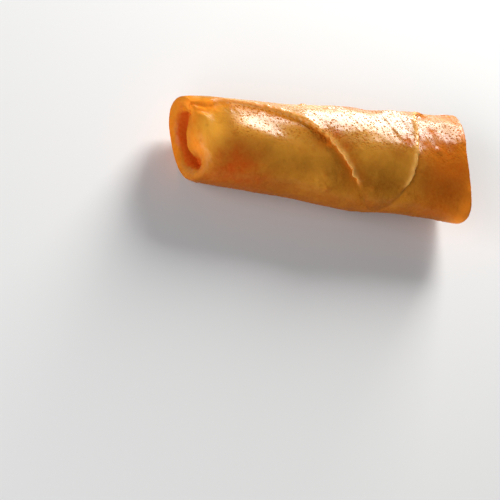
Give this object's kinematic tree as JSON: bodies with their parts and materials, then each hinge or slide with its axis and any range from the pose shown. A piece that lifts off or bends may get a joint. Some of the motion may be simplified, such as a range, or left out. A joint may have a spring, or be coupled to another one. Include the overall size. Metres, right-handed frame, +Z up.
{
  "type": "fried spring roll",
  "caption": "Deep-fried spring roll: a square sheet of pastry rolled round a filling, flaring towards one end, with its corner flap on the front, a folded mouth and a rimmed open end.",
  "frame": {"origin": "middle of the underside, on the table", "axes": "+X runs along the roll towards its flared end, -Y is the front with the pastry's corner, +Z is up"},
  "size_m": [0.1026, 0.0428, 0.0247],
  "materials": {
    "fried_pastry": "golden brown fried pastry with an oily semi-gloss skin"
  },
  "bodies": {
    "root": {"spring_roll": "fried_pastry"}
  },
  "joints": []
}
